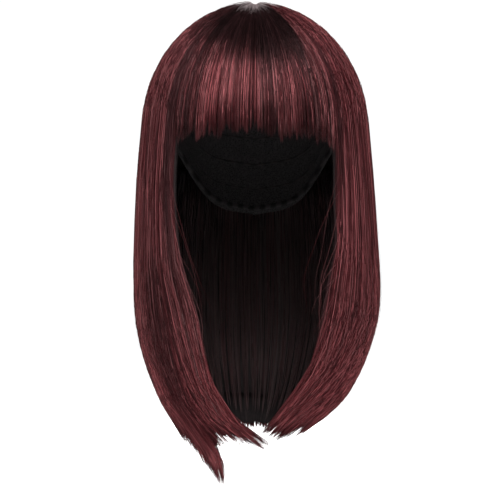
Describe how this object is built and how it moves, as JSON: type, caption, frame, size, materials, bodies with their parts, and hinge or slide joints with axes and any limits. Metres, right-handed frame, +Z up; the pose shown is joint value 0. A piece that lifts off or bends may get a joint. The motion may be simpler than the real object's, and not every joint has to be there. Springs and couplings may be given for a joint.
{
  "type": "bob wig",
  "caption": "Straight bob wig with a full fringe on a thin cap, open at the face and the neck, worn over a head.",
  "frame": {"origin": "inside top of the cap, where the crown of the head sits", "axes": "+Z up along the worn head, the face opening looks along -Y, +X towards the right of someone who looks at the face opening"},
  "size_m": [0.21, 0.2262, 0.4042],
  "materials": {
    "cap_net": "matte black elastic net",
    "scalp": "matte pale woven skin top",
    "hair": "satin burgundy synthetic hair",
    "hair_under": "satin near-black brown synthetic hair"
  },
  "bodies": {
    "root": {"cap": "cap_net", "scalp_top": "scalp", "fringe": "hair", "left_side": "hair", "right_side": "hair", "back_hair": "hair", "nape_layer": "hair_under"}
  },
  "joints": []
}
